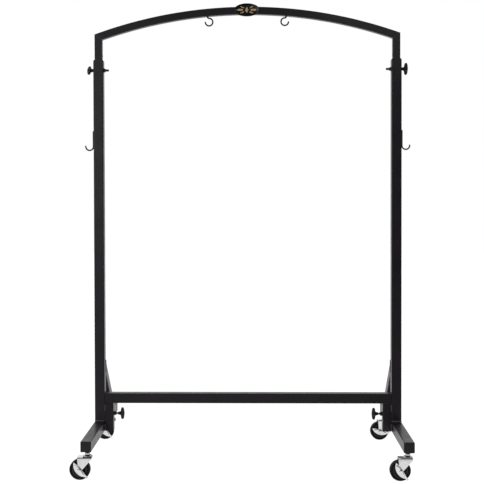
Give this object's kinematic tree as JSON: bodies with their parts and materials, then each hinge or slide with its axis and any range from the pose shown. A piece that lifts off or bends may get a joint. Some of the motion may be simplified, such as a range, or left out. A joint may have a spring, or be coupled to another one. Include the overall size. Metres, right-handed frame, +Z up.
{
  "type": "gong stand",
  "caption": "Rolling gong stand of square steel tube with an arched top frame that slides up in the uprights, hooks for a gong and mallets, and braked swivel casters.",
  "frame": {"origin": "on the floor, midway between the uprights and midway along the feet", "axes": "+X to the right seen from the front, +Y towards the braces at the back, +Z up"},
  "size_m": [1.3214, 0.75, 1.8318],
  "materials": {
    "powder_coat": "satin black powder coat",
    "chrome": "bright chrome plate",
    "bolt_steel": "black zinc plate",
    "black_plastic": "moulded black plastic",
    "nylon": "moulded black nylon",
    "rubber_tyre": "dark rubber",
    "gloss_black": "glossy black, bare"
  },
  "bodies": {
    "frame": {"upright_left": "powder_coat", "foot_left": "powder_coat", "brace_left": "powder_coat", "crossbar_socket_left": "powder_coat", "foot_cap_front_left": "black_plastic", "foot_cap_rear_left": "black_plastic", "sleeve_bush_left": "nylon", "height_nut_left": "powder_coat", "clamp_nut_left": "powder_coat", "mallet_hook_left": "powder_coat", "upright_right": "powder_coat", "foot_right": "powder_coat", "brace_right": "powder_coat", "crossbar_socket_right": "powder_coat", "foot_cap_front_right": "black_plastic", "foot_cap_rear_right": "black_plastic", "sleeve_bush_right": "nylon", "height_nut_right": "powder_coat", "clamp_nut_right": "powder_coat", "mallet_hook_right": "powder_coat", "crossbar": "powder_coat", "caster_stem_front_left": "chrome", "caster_stem_front_right": "chrome", "caster_stem_rear_left": "chrome", "caster_stem_rear_right": "chrome"},
    "top_frame": {"arch_tube": "powder_coat", "arch_leg_left": "powder_coat", "arch_leg_right": "powder_coat", "badge_plate": "gloss_black", "gong_hook_left": "powder_coat", "gong_hook_right": "powder_coat"},
    "height_clamp_left": {"height_knob_left": "black_plastic", "height_bolt_left": "bolt_steel"},
    "height_clamp_right": {"height_knob_right": "black_plastic", "height_bolt_right": "bolt_steel"},
    "crossbar_clamp_left": {"clamp_knob_left": "black_plastic", "clamp_bolt_left": "bolt_steel"},
    "crossbar_clamp_right": {"clamp_knob_right": "black_plastic", "clamp_bolt_right": "bolt_steel"},
    "caster_swivel_front_left": {"caster_fork_front_left": "chrome", "caster_axle_front_left": "chrome"},
    "caster_wheel_front_left": {"wheel_hub_front_left": "black_plastic", "wheel_tyre_front_left": "rubber_tyre"},
    "caster_brake_front_left": {"brake_lever_front_left": "chrome"},
    "caster_swivel_front_right": {"caster_fork_front_right": "chrome", "caster_axle_front_right": "chrome"},
    "caster_wheel_front_right": {"wheel_hub_front_right": "black_plastic", "wheel_tyre_front_right": "rubber_tyre"},
    "caster_brake_front_right": {"brake_lever_front_right": "chrome"},
    "caster_swivel_rear_left": {"caster_fork_rear_left": "chrome", "caster_axle_rear_left": "chrome"},
    "caster_wheel_rear_left": {"wheel_hub_rear_left": "black_plastic", "wheel_tyre_rear_left": "rubber_tyre"},
    "caster_brake_rear_left": {"brake_lever_rear_left": "chrome"},
    "caster_swivel_rear_right": {"caster_fork_rear_right": "chrome", "caster_axle_rear_right": "chrome"},
    "caster_wheel_rear_right": {"wheel_hub_rear_right": "black_plastic", "wheel_tyre_rear_right": "rubber_tyre"},
    "caster_brake_rear_right": {"brake_lever_rear_right": "chrome"}
  },
  "joints": [
    {"name": "height_slide", "type": "slide", "parent": "frame", "child": "top_frame", "axis": [0, 0, 1], "range_m": [-0.034, 0.25]},
    {"name": "height_knob_turn_left", "type": "hinge", "parent": "frame", "child": "height_clamp_left", "pos_m": [-0.6183, 0, 1.5685], "axis": [-1, 0, 0], "continuous": true},
    {"name": "height_knob_turn_right", "type": "hinge", "parent": "frame", "child": "height_clamp_right", "pos_m": [0.6183, 0, 1.5685], "axis": [1, 0, 0], "continuous": true},
    {"name": "clamp_knob_turn_left", "type": "hinge", "parent": "frame", "child": "crossbar_clamp_left", "pos_m": [-0.5263, 0, 0.1805], "axis": [1, 0, 0], "continuous": true},
    {"name": "clamp_knob_turn_right", "type": "hinge", "parent": "frame", "child": "crossbar_clamp_right", "pos_m": [0.5263, 0, 0.1805], "axis": [-1, 0, 0], "continuous": true},
    {"name": "swivel_front_left", "type": "hinge", "parent": "frame", "child": "caster_swivel_front_left", "pos_m": [-0.598, -0.3325, 0.093], "axis": [0, 0, 1], "continuous": true},
    {"name": "wheel_spin_front_left", "type": "hinge", "parent": "caster_swivel_front_left", "child": "caster_wheel_front_left", "pos_m": [-0.6265, -0.33275, 0.039], "axis": [-0.0087, 1, 0], "continuous": true},
    {"name": "brake_front_left", "type": "hinge", "parent": "caster_swivel_front_left", "child": "caster_brake_front_left", "pos_m": [-0.6265, -0.33275, 0.039], "axis": [0.0087, -1, 0], "range_deg": [0, 32]},
    {"name": "swivel_front_right", "type": "hinge", "parent": "frame", "child": "caster_swivel_front_right", "pos_m": [0.598, -0.3325, 0.093], "axis": [0, 0, 1], "continuous": true},
    {"name": "wheel_spin_front_right", "type": "hinge", "parent": "caster_swivel_front_right", "child": "caster_wheel_front_right", "pos_m": [0.5695, -0.33225, 0.039], "axis": [0.0087, 1, 0], "continuous": true},
    {"name": "brake_front_right", "type": "hinge", "parent": "caster_swivel_front_right", "child": "caster_brake_front_right", "pos_m": [0.5695, -0.33225, 0.039], "axis": [-0.0087, -1, 0], "range_deg": [0, 32]},
    {"name": "swivel_rear_left", "type": "hinge", "parent": "frame", "child": "caster_swivel_rear_left", "pos_m": [-0.598, 0.3325, 0.093], "axis": [0, 0, 1], "continuous": true},
    {"name": "wheel_spin_rear_left", "type": "hinge", "parent": "caster_swivel_rear_left", "child": "caster_wheel_rear_left", "pos_m": [-0.62634, 0.32952, 0.039], "axis": [-0.1045, 0.9945, 0], "continuous": true},
    {"name": "brake_rear_left", "type": "hinge", "parent": "caster_swivel_rear_left", "child": "caster_brake_rear_left", "pos_m": [-0.62634, 0.32952, 0.039], "axis": [0.1045, -0.9945, 0], "range_deg": [0, 32]},
    {"name": "swivel_rear_right", "type": "hinge", "parent": "frame", "child": "caster_swivel_rear_right", "pos_m": [0.598, 0.3325, 0.093], "axis": [0, 0, 1], "continuous": true},
    {"name": "wheel_spin_rear_right", "type": "hinge", "parent": "caster_swivel_rear_right", "child": "caster_wheel_rear_right", "pos_m": [0.56957, 0.33051, 0.039], "axis": [-0.0698, 0.9976, 0], "continuous": true},
    {"name": "brake_rear_right", "type": "hinge", "parent": "caster_swivel_rear_right", "child": "caster_brake_rear_right", "pos_m": [0.56957, 0.33051, 0.039], "axis": [0.0698, -0.9976, 0], "range_deg": [-32, 0]}
  ]
}
